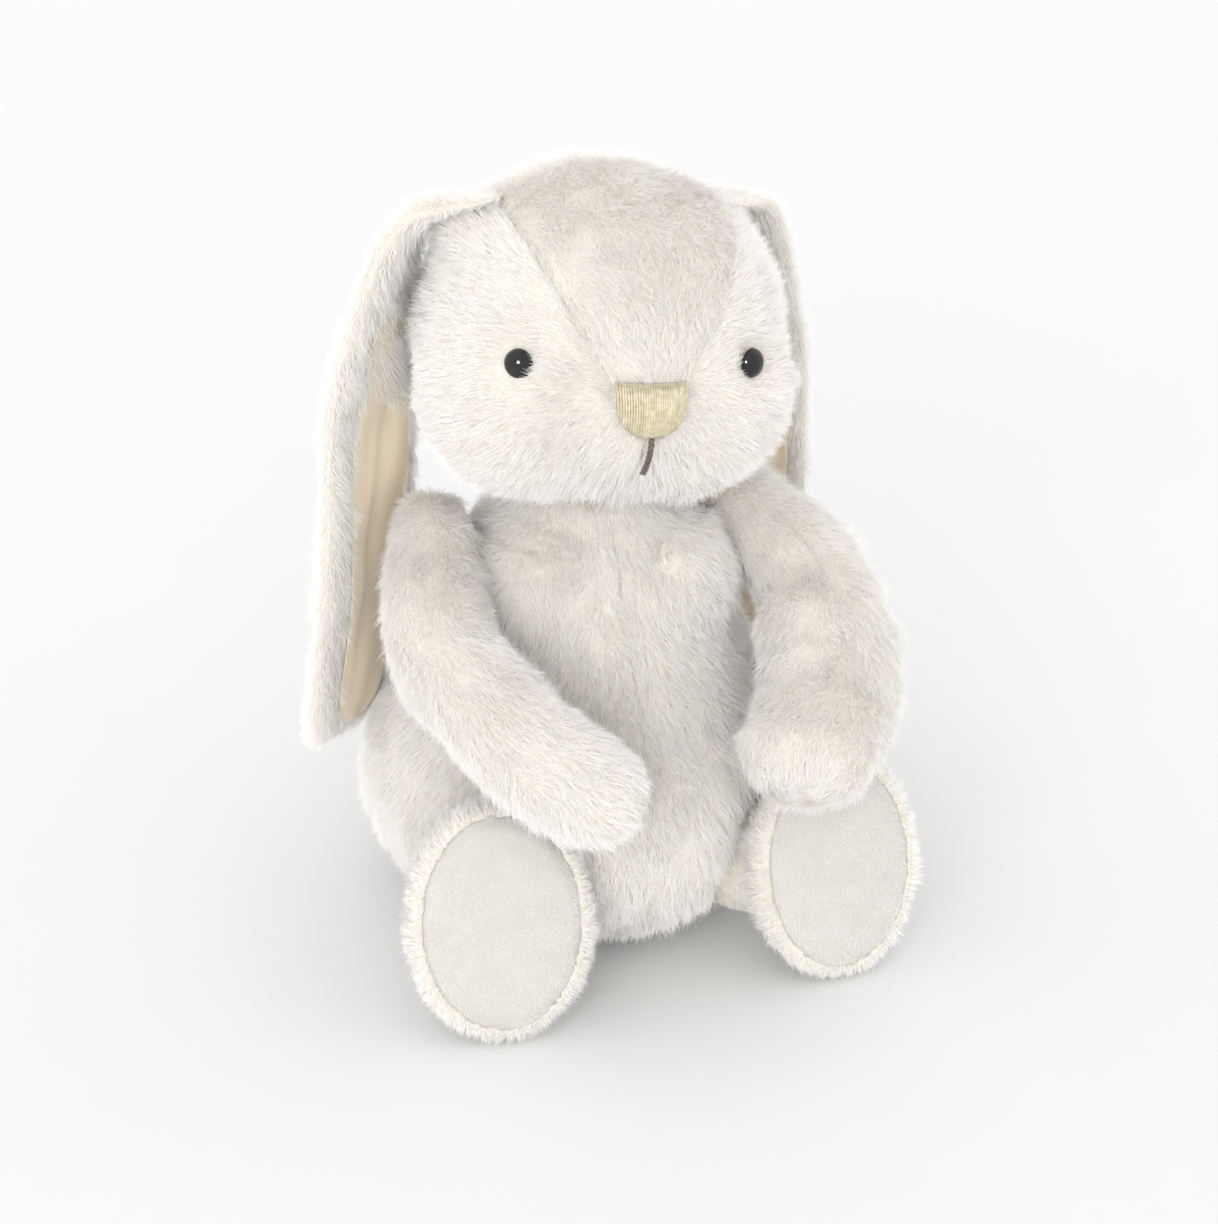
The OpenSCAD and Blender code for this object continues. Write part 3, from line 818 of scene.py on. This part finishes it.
def build_torso():
    cutters = []
    for side in (LEFT, RIGHT):
        x, y, z, r = ARM_BALLS[side][0]
        cutters.append(ball((x, y, z), r + 0.6))
        cutters.append(ball(HIP[side], HIP_R + 0.8))
    shells = [lathe(torso_profile(PILE)), ball(NECK, NECK_R - 0.8)]
    # the chest is stuffed out to the arms
    shells += [ball((side * 22, -8, 135), (35, 37, 34)) for side in (LEFT, RIGHT)]
    form = remeshed("torso_form", shells, 5.0, cutters)
    relax(form, 5)
    inflate(form, 3.0)
    relax(form, 1)
    subdivide(form, 2)
    p, n = co_of(form), normals_of(form)
    p = groove(p, n, np.abs(p[:, 0]), 0.5, 2.6)
    p = groove(p, n, np.abs(p[:, 1]), 0.7, 2.6)
    p = clumped(p, n, unit(torso_comb(p, n)), 0.8, 6.5, 15)
    p[:, 2] = np.maximum(p[:, 2], 0.4)
    sockets = [(ARM_BALLS[s][0][:3], ARM_BALLS[s][0][3] + 0.8) for s in (LEFT, RIGHT)]
    sockets += [(HIP[s], HIP_R + 1.0) for s in (LEFT, RIGHT)]
    for centre, radius in sockets:
        away = np.linalg.norm(p - centre, axis=1, keepdims=True)
        p = np.where(away < radius, centre + (p - centre) / away * radius, p)
    away = np.linalg.norm(p - NECK, axis=1, keepdims=True)
    reach = NECK_R - 0.4 + 7 * np.clip((HEAD[2] - HEAD_H + 1 - p[:, 2:3]) / 7, 0, 1)
    high = p[:, 2:3] > NECK[2]
    p = np.where(high & (away > reach), NECK + (p - NECK) / away * reach, p)
    set_co(form, p)

    def panel_of(v):
        return ("torso_front_" if v[1] < 0 else "torso_back_") + ("left" if v[0] > 0 else "right")
    panels = split_panels(form, [(lambda v: v[0],), (lambda v: v[1],)], panel_of)
    for name, panel in panels.items():
        dress(panel, FUR, "torso", [name])
    filling = inset_copy(form, "torso_filling", 3.4)
    dress(filling, STUFFING, "torso", ["torso_stuffing"])
    grow_pile("torso_pile", "torso", form, torso_comb, torso_length, 200, lift=0.44, tuft=4.2)
    bpy.data.objects.remove(form)
    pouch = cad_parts["pellet_pouch"]
    pouch.data.materials.clear()
    pouch.data.materials.append(POUCH)


def build_patch():
    """A small oval of cloth with a stitched heart."""
    centre = patch_centre()
    slope = math.asin((PATCH_Z - CHEST_Z) / CHEST_R)
    rotation = turn("Z", PATCH_SIDE) @ turn("X", 90 - math.degrees(slope))
    out = rotation @ np.array([0, 0, 1.0])
    rim = [(0.02, 0.0), (0.9, 0.0), (1.0, 0.35), (0.97, 0.8), (0.8, 1.1), (0.4, 1.25), (0.02, 1.3)]
    points, faces = lathe(rim, 40)
    points = points * [4.2, 6.6, 0.7]
    oval = make_mesh("chest_oval", placed(points, rotation, centre + out * 0.6), faces)
    dress(oval, PATCH, "torso", ["chest_patch"])
    threads = []
    for s in np.linspace(0, 2 * math.pi, 30, endpoint=False):
        up = 13 * math.cos(s) - 5 * math.cos(2 * s) - 2 * math.cos(3 * s) - math.cos(4 * s)
        heart = np.array([16 * math.sin(s) ** 3, up]) / 16
        outer, inner = heart * [2.7, 3.2], heart * [2.1, 2.5]
        path = [[*(inner + (outer - inner) * k), 0.95 + 0.4 * math.sin(math.pi * k)] for k in np.linspace(0, 1, 5)]
        threads.append(strand(path, 0.2, 6))
    points, faces = joined(threads)
    heart = make_mesh("chest_heart", placed(points, rotation, centre + out * 0.6), faces)
    dress(heart, GOLD_THREAD, "torso")


def build_tail():
    shell = ball(TAIL + [0, 0.5, 0], TAIL_R - PILE)
    form = remeshed("tail_form", [shell], 4.0)
    p = co_of(form)
    p[:, 1] = np.maximum(p[:, 1], BELLY_R + 0.4)
    set_co(form, p)
    inflate(form, 1.0)
    subdivide(form, 1)
    p, n = co_of(form), normals_of(form)
    p = groove(p, n, np.abs(p[:, 0]), 1.0, 2.0)
    p[:, 1] = np.maximum(p[:, 1], BELLY_R + 0.4)
    filling = inset_copy(form, "tail_filling", 2.6)
    set_co(form, p)
    cover = add_object("tail_fur", form.data.copy())
    dress(cover, FUR, "torso", ["tail_cover"])
    dress(filling, STUFFING, "torso", ["tail_stuffing"])

    def length(q):
        return np.where(q[:, 1] > BELLY_R + 1.0, 9.0, 0)
    grow_pile("tail_pile", "torso", form, lambda q, m: unit(q - TAIL) * 0.5 + [0, 0.3, -0.6], length, 300, lift=0.7)
    bpy.data.objects.remove(form)


# ---------------------------------------------------------------- arms

def spline(points, steps):
    """A smooth line through the points (Catmull-Rom), with the first and last continued straight."""
    p = np.array(points, float)
    p = np.vstack([2 * p[0] - p[1], p, 2 * p[-1] - p[-2]])
    out = []
    for i in range(1, len(p) - 2):
        for s in np.linspace(0, 1, steps, endpoint=False):
            a, b, c, d = p[i - 1:i + 3]
            square, cube = 2 * a - 5 * b + 4 * c - d, 3 * b - a - 3 * c + d
            out.append(0.5 * (2 * b + (c - a) * s + square * s ** 2 + cube * s ** 3))
    out.append(p[-2])
    return np.array(out)


def arm_frame(line, p):
    """For each point: which place on the arm's line is nearest, where that is, and the arm's direction there."""
    best = np.full(len(p), 1e9)
    near = np.zeros(len(p), int)
    for i, c in enumerate(line[:, :3]):
        d = ((p - c) ** 2).sum(1)
        closer = d < best
        best[closer], near[closer] = d[closer], i
    along = unit(np.gradient(line[:, :3], axis=0))
    return near, line[near, :3], along[near]


def build_arm(side):
    name = f"arm_{SIDE_NAME[side]}"
    line = spline(ARM_BALLS[side], 8)
    shells = [ball(c[:3], c[3] - PILE + 1.2 - 3.0 * max(0.0, 1 - i / 7)) for i, c in enumerate(line)]
    shells += [ball(c[:3], c[3] - PILE) for c in HAND_FILL[side]]
    form = remeshed(name + "_form", shells, 4.5)
    relax(form, 3)
    inflate(form, 2.0)
    subdivide(form, 2)
    outward = np.array([side * 1.0, 0.0, 0.25])

    def seam_distance(p):
        """Positive on the outer half of the arm."""
        _, centre, along = arm_frame(line, p)
        face = unit(outward - along * (along @ outward)[:, None])
        return ((p - centre) * face).sum(1)
    p, n = co_of(form), normals_of(form)
    p = groove(p, n, np.abs(seam_distance(p)), 0.6, 2.4)
    p = clumped(p, n, arm_frame(line, p)[2], 0.7, 6.0, 25 + side)
    set_co(form, p)

    def field(v):
        return float(seam_distance(np.array([v]))[0])

    def panel_of(v):
        return name + ("_outer" if field(v) > 0 else "_inner")
    for node, panel in split_panels(form, [(field,)], panel_of).items():
        dress(panel, FUR, name, [node])
    filling = inset_copy(form, name + "_filling", 3.0)
    dress(filling, STUFFING, name, [name + "_stuffing"])

    def comb(q, m):
        along = arm_frame(line, q)[2]
        dist = seam_distance(q)
        face = unit(outward - along * (along @ outward)[:, None])
        return along + face * (np.sign(dist) * 0.06 * np.exp(-np.abs(dist) / 7))[:, None]

    def length(q):
        near = arm_frame(line, q)[0]
        out = np.full(len(q), 10.0)
        out[(near == 0) & (seam_distance(q) < -6)] = 3
        return out
    grow_pile(name + "_pile", name, form, comb, length, 400 + side, lift=0.44)
    bpy.data.objects.remove(form)


# ---------------------------------------------------------------- legs

def foot_rotation(side):
    return turn("Z", side * FOOT_TURN) @ turn("X", 90 - SOLE_LEAN)


def oval(w, h, depth, steps=64):
    a = np.linspace(0, 2 * math.pi, steps, endpoint=False)
    return np.stack([w * np.cos(a), h * np.sin(a), np.full(steps, depth)], 1)


def build_leg(side):
    name = f"leg_{SIDE_NAME[side]}"
    rot, foot = foot_rotation(side), FOOT[side]
    hip_rot = turn("Z", side * HIP_BEARING) @ turn("X", 90)
    steps = 64
    a = np.linspace(0, 2 * math.pi, steps, endpoint=False)
    r = THIGH_R - PILE
    thigh = placed(np.stack([r * np.cos(a), r * np.sin(a), np.full(steps, THIGH_START)], 1), hip_rot, HIP[side])
    w, h = FOOT_W - PILE, FOOT_H - PILE
    back = placed(oval(w, h, -11), rot, foot)
    rings = [thigh + (back - thigh) * s for s in np.linspace(0, 1, 8)]
    rounding = ((1.0, -7), (0.99, -4.5), (0.965, -2.4), (0.925, -1.2), (0.87, -0.6))      # size, depth
    rings += [placed(oval(w * k, h * k, d), rot, foot) for k, d in rounding]
    form = remeshed(name + "_form", [tube(rings), ball(HIP[side], HIP_R - 1.6)], 4.0)
    relax(form, 3)
    inflate(form, 1.8)
    subdivide(form, 1)

    def local(p):
        return (np.asarray(p, float) - foot) @ rot

    def rim_share(p):
        """0 in the middle of the sole, 1 at the sole's edge, for points on the front of the foot."""
        q = local(p)
        return np.sqrt((q[..., 0] / (FOOT_W - SOLE_MARGIN)) ** 2 + (q[..., 1] / (FOOT_H - SOLE_MARGIN)) ** 2)
    p, n = co_of(form), normals_of(form)
    q = local(p)
    front = q[:, 2] > -9
    share = rim_share(p)
    distance = np.where(front, (share - 1) * 32, 99)
    p = groove(p, n, distance, 1.6, 2.2)
    away = np.linalg.norm(p - HIP[side], axis=1, keepdims=True)
    back_half = ((p - HIP[side]) @ (hip_rot @ [0, 0, 1.0]))[:, None] < 5
    p = np.where(back_half & (away > HIP_R - 1.0), HIP[side] + (p - HIP[side]) / away * (HIP_R - 1.0), p)
    along = unit(foot - HIP[side])
    inside = front & (share < 0.97)
    soft = clumped(p, n, np.tile(along, (len(p), 1)), 0.7, 6.0, 35 + side)
    p = np.where(inside[:, None], p, soft)
    p[:, 2] = np.maximum(p[:, 2], 0.5)
    set_co(form, p)

    def panel_of(v):
        q = local(v)
        return name + ("_sole" if q[2] > -9 and rim_share(v) < 1 else "_cover")
    cuts = [(lambda v: float(rim_share(v)) - 1, lambda v: local(v)[2] > -9)]
    for node, panel in split_panels(form, cuts, panel_of).items():
        is_sole = node.endswith("_sole")
        dress(panel, VELOUR if is_sole else FUR, name, [node])
    filling = inset_copy(form, name + "_filling", 3.2)
    dress(filling, STUFFING, name, [name + "_stuffing"])

    def comb(q, m):
        out = np.tile(along, (len(q), 1))
        r = local(q)
        radial = np.stack([r[:, 0], r[:, 1], np.full(len(r), -14.0)], 1) @ rot.T
        edge = np.clip((r[:, 2] + 14) / 8, 0, 1)[:, None]
        return out * (1 - edge) + unit(radial) * edge

    def length(q):
        r = local(q)
        out = 9.0 - 2.0 * np.clip((r[:, 2] + 16) / 8, 0, 1)
        out[(r[:, 2] > -9) & (rim_share(q) < 0.985)] = 0
        out[np.linalg.norm(q - HIP[side], axis=1) < HIP_R - 0.2] *= 0.35
        out[q[:, 2] < 2] = 0
        return out
    grow_pile(name + "_pile", name, form, comb, length, 500 + side, lift=0.48)

    def nap(q):
        r = local(q)
        return np.where((r[:, 2] > -9) & (rim_share(q) < 0.985), 1.7, 0)

    def nap_comb(q, m):
        return np.tile(rot @ np.array([0.15, -1, 0]), (len(q), 1))
    grow_pile(name + "_nap", name, form, nap_comb, nap, 600 + side, lift=0.6, tuft=1.6, gather=0.15, density=1.6,
              radius=0.8)
    bpy.data.objects.remove(form)


# ---------------------------------------------------------------- ears

def ear_seat(side, lift, rise=EAR_RISE):
    """A point over the side of the level head, lift above its surface. The right ear's is the mirror image."""
    up, out, back = math.radians(rise), math.cos(math.radians(rise)), math.radians(EAR_BEARING[side])
    normal = np.array([out * math.cos(back) / HEAD_R, out * math.sin(back) / HEAD_R, math.sin(up) / HEAD_H])
    surface = [HEAD_R * out * math.cos(back), HEAD_R * out * math.sin(back), HEAD_H * math.sin(up)]
    return HEAD + surface + normal / np.linalg.norm(normal) * lift


def ear_root(side):
    return ear_seat(side, EAR_T / 2 + EAR_ROOT_GAP)


def ear_rotation(side):
    return turn("Z", EAR_TURN[side]) @ turn("Y", -EAR_LIFT[side])


def ear_to_frame(side, points):
    """From the ear's own frame, which hangs down -Z from a hinge along Y, to the resting rabbit."""
    out = placed(points, ear_rotation(side), ear_root(side))
    if side == RIGHT:
        out = out * [-1, 1, 1]
    return tilt(out)


def ear_turned(side, vectors):
    out = np.asarray(vectors, float) @ ear_rotation(side).T
    if side == RIGHT:
        out = out * [-1, 1, 1]
    return out @ HEAD_ROT.T


def ear_line(side, s):
    """Point and outward normal of the ear's middle line, s millimetres down from the root."""
    reach = EAR_REACH[side]
    a = np.linspace(0, math.pi / 2, 60)
    curve = np.stack([reach * np.sin(a), EAR_BEND * np.cos(a) - EAR_BEND], 1)
    curve = np.vstack([curve, [reach, -EAR_LEN]])
    steps = np.concatenate([[0], np.cumsum(np.linalg.norm(np.diff(curve, axis=0), axis=1))])
    s = np.minimum(s, steps[-1])

    def at(k):
        above = np.minimum(k, 0)
        return np.interp(k, steps, curve[:, 0]) + above * 0.92, np.interp(k, steps, curve[:, 1]) - above * 0.27
    (x, z), (x2, z2), (x1, z1) = at(s), at(s + 1), at(s - 1)
    t = unit(np.stack([x2 - x1, z2 - z1], -1))
    return x, z, -t[..., 1], t[..., 0]


EAR_S = EAR_LEN + 6.0
LINING_MARGIN = 6.5
FRONT_BAND = {LEFT: 6.5, RIGHT: 13.0}    # fur that rolls over the front edge
EAR_TUCK = -24.0       # where the ear starts, on the side of the head
LINING_START, LINING_END = 44.0, EAR_S - 9.0
PILE_BEND = 61.0       # the length round the bend that the pile reckons with, shorter than the curve itself


def ear_half_width(s):
    """Half the ear's width at s down from the root."""
    tip = EAR_W / 2
    round_length = tip * 1.15
    places = [EAR_TUCK, -10, 4, 30, 60, 120, EAR_S - round_length]
    w = np.interp(s, places, [6.0, 11.0, 14.0, 18.0, 22.5, 25.5, 25.0])
    end = np.clip((s - (EAR_S - round_length)) / round_length, 0, 1)
    return w * np.sqrt(np.clip(1 - end ** 2.3, 0, 1))


def ear_twist(side, s, y, h, back=False):
    """Turns a place across the ear, y, and its height, h, about the ear's front edge. back undoes it."""
    k = np.clip((np.asarray(s, float) - 5) / 65, 0, 1)
    a = math.radians(EAR_TWIST[side]) * k * k * (3 - 2 * k) * (-1 if back else 1)
    edge = ear_half_width(s)
    return -edge + (y + edge) * np.cos(a) + h * np.sin(a), h * np.cos(a) - (y + edge) * np.sin(a)


def ear_fold(s, y):
    """How far the cloth of the ear waves in and out: a soft cup across and slow folds along it."""
    k = np.clip((s - 10) / 60, 0, 1)
    cup = 3.0 * (y / 26.0) ** 2 * k
    return -cup + k * (1.6 * np.sin(s / 31.0 + y / 17.0) + 0.9 * np.sin(s / 19.0 - y / 9.0 + 1.3))


def build_ear(side):
    name = f"ear_{SIDE_NAME[side]}"
    rows, across = 90, 56
    half_t = EAR_T / 2 - 2.2
    rings = []
    for s in np.linspace(EAR_TUCK, EAR_S - 0.3, rows):
        w = max(float(ear_half_width(s)), 1.2)
        x, z, nx, nz = (float(v) for v in ear_line(side, s))
        t = half_t * min(1.0, 0.35 + 0.65 * w / 12) * float(np.interp(s, [EAR_TUCK, 0, 25], [0.25, 0.75, 1]))
        ring = []
        for a in np.linspace(0, 2 * math.pi, across, endpoint=False):
            c, d = math.cos(a), math.sin(a)
            y = w * math.copysign(abs(c) ** 0.8, c)
            h = t * math.copysign(abs(d) ** 0.75, d) + float(ear_fold(s, y))
            y, h = (float(v) for v in ear_twist(side, s, y, h))
            ring.append([x + nx * h, y, z + nz * h])
        rings.append(np.array(ring))
    points, faces = tube(rings)
    form = make_mesh(name + "_form", points, faces)
    back_margin, front_margin = LINING_MARGIN, FRONT_BAND[side]

    # the lining: a sheet laid on the side that faces the head
    u = np.linspace(-1, 1, 30)
    grid = []
    first, last = LINING_START, LINING_END
    srows = np.linspace(first, last, 110)
    for i, s in enumerate(srows):
        full = float(ear_half_width(min(s + 3, EAR_S)))
        head_end = min(1.0, (s - first) / 10) ** 0.5
        back_edge, front_edge = full - back_margin, -full + front_margin
        w = max((back_edge - front_edge) / 2 * (0.45 + 0.55 * head_end), 0.6)
        middle = (back_edge + front_edge) / 2
        x, z, nx, nz = (float(v) for v in ear_line(side, s))
        for k in u:
            y = middle + w * k
            edge = (1 - abs(k) ** 4)
            wave = 0.9 * math.sin(s / 7.5 + 2.2 * k + 1.5 * math.sin(s / 23)) + 0.7 * math.sin(y / 2.9 + s / 27.0)
            wave += 1.0 * math.exp(-((y - 5 * math.sin(s / 40) + 3) / 2.6) ** 2)
            h = -half_t + float(ear_fold(s, y)) - 0.5 - edge * (0.9 + 0.55 * wave)
            y, h = (float(v) for v in ear_twist(side, s, y, h))
            grid.append([x + nx * h, y, z + nz * h])
    n = len(u)
    quads = [
        [i * n + j, i * n + j + 1, (i + 1) * n + j + 1, (i + 1) * n + j]
        for i in range(len(srows) - 1) for j in range(n - 1)
    ]
    grid = np.array(grid)
    lining = make_mesh(name + "_satin", ear_to_frame(side, grid), quads)
    mod = lining.modifiers.new("cloth", "SOLIDIFY")
    mod.thickness, mod.offset = 0.5 * MM, 0
    bake(lining)
    lining.data.shade_smooth()
    dress(lining, SATIN, name, [name + "_lining"])

    p, m = co_of(form), normals_of(form)
    down = np.tile(np.array([0.0, 0.0, -1.0]), (len(p), 1))
    p = clumped(p, m, down, 0.5, 6.0, 45 + side)
    set_co(form, ear_to_frame(side, p))
    if side == RIGHT:
        form.data.flip_normals()
        lining.data.flip_normals()
    subdivide(form, 1)
    cover = add_object(name + "_cover", form.data.copy())
    dress(cover, FUR, name, [name + "_fur"])

    def local(q):
        out = in_head(q)
        if side == RIGHT:
            out = out * [-1, 1, 1]
        return (out - ear_root(side)) @ ear_rotation(side)

    def where_on_ear(q):
        """s down the ear, place across it, and which side: positive is away from the head."""
        v = local(q)
        angle = np.arctan2(v[:, 0] / EAR_REACH[side], 1 + v[:, 2] / EAR_BEND) / (math.pi / 2)
        s = np.where(v[:, 2] > -EAR_BEND, angle * PILE_BEND, -v[:, 2] - EAR_BEND + PILE_BEND)
        x, z, nx, nz = ear_line(side, s)
        y, h = ear_twist(side, s, v[:, 1], (v[:, 0] - x) * nx + (v[:, 2] - z) * nz, back=True)
        return s, y, h - ear_fold(s, y)

    def inside_head(q):
        v = (in_head(q) - HEAD) / [HEAD_R - 3, HEAD_R - 3, HEAD_H - 3]
        return (v ** 2).sum(1) < 1

    def length(q):
        s, y, h = where_on_ear(q)
        out = 4.0 + 5.0 * np.clip((s + 20) / 50, 0, 1)
        out[(h < -0.5) & (s > 0) & (s < first + 4)] = 12.0
        out[inside_head(q)] = 0
        full = ear_half_width(np.minimum(s + 3, EAR_S)) + 0.5
        over_lining = (h < -0.5) & (y < full - back_margin) & (y > front_margin - full)
        out[over_lining & (s > first + 2) & (s < last)] = 0
        return out

    def comb(q, m):
        y = where_on_ear(q)[1]
        v = np.stack([np.zeros(len(q)), np.sign(y) * 0.25 * np.clip(np.abs(y) / 20, 0, 1), -np.ones(len(q))], 1)
        return ear_turned(side, v)
    grow_pile(name + "_pile", name, form, comb, length, 700 + side, lift=0.5, tuft=3.8)
    bpy.data.objects.remove(form)


# ---------------------------------------------------------------- stage, light and camera

def build_stage():
    bpy.ops.mesh.primitive_plane_add(size=14, location=(0, 0, 0))
    floor = bpy.context.object
    floor.name = "floor"
    grey = 0.80
    floor.data.materials.append(patterned("floor_paper", (grey,) * 3, 0.9, (0.99 * grey,) * 3, (1.005 * grey,) * 3, 3))

    world = bpy.data.worlds.new("studio")
    world.use_nodes = True
    background = world.node_tree.nodes["Background"]
    background.inputs["Color"].default_value = (1.0, 1.0, 1.0, 1)
    background.inputs["Strength"].default_value = 1.08
    bpy.context.scene.world = world

    data = bpy.data.lights.new("key", "SUN")
    data.energy, data.angle, data.color = 2.0, math.radians(60), (1.0, 0.995, 0.985)
    key = add_object("key", data)
    catch = bpy.data.lights.new("catch", "AREA")
    catch.energy, catch.size = 11.0, 0.24
    spot = add_object("catch", catch)
    spot.visible_diffuse = False
    spot.location = (-0.62, -0.75, 0.62)
    spot.rotation_euler = (Vector((0, -0.03, 0.23)) - Vector(spot.location)).to_track_quat("-Z", "Y").to_euler()
    key.rotation_euler = Vector((0.46, 0.84, -0.16)).to_track_quat("-Z", "Y").to_euler()
    key.visible_glossy = False


CAMERA_AZIMUTH, CAMERA_ELEVATION, CAMERA_DISTANCE = -18.0, 25.0, 1.0
CAMERA_TARGET = Vector((0, 0, 0.147))
CAMERA_LENS, CAMERA_SHIFT_X, CAMERA_SHIFT_Y = 77.06, 0.0204, -0.058


def build_camera():
    data = bpy.data.cameras.new("camera")
    cam = add_object("camera", data)
    a, e = math.radians(CAMERA_AZIMUTH), math.radians(CAMERA_ELEVATION)
    back = Vector((math.sin(a) * math.cos(e), -math.cos(a) * math.cos(e), math.sin(e)))
    cam.location = CAMERA_TARGET + back * CAMERA_DISTANCE
    cam.rotation_mode = "QUATERNION"
    cam.rotation_quaternion = (-back).to_track_quat("-Z", "Y")
    data.sensor_width = 36
    data.lens = CAMERA_LENS
    data.shift_x, data.shift_y = CAMERA_SHIFT_X, CAMERA_SHIFT_Y
    data.clip_start, data.clip_end = 0.05, 50
    bpy.context.scene.camera = cam
    bpy.context.scene.view_settings.view_transform = "Standard"


build_head()
build_eyes()
build_nose()
build_torso()
build_patch()
build_tail()
for side in (LEFT, RIGHT):
    build_arm(side)
    build_leg(side)
    build_ear(side)
build_stage()
build_camera()
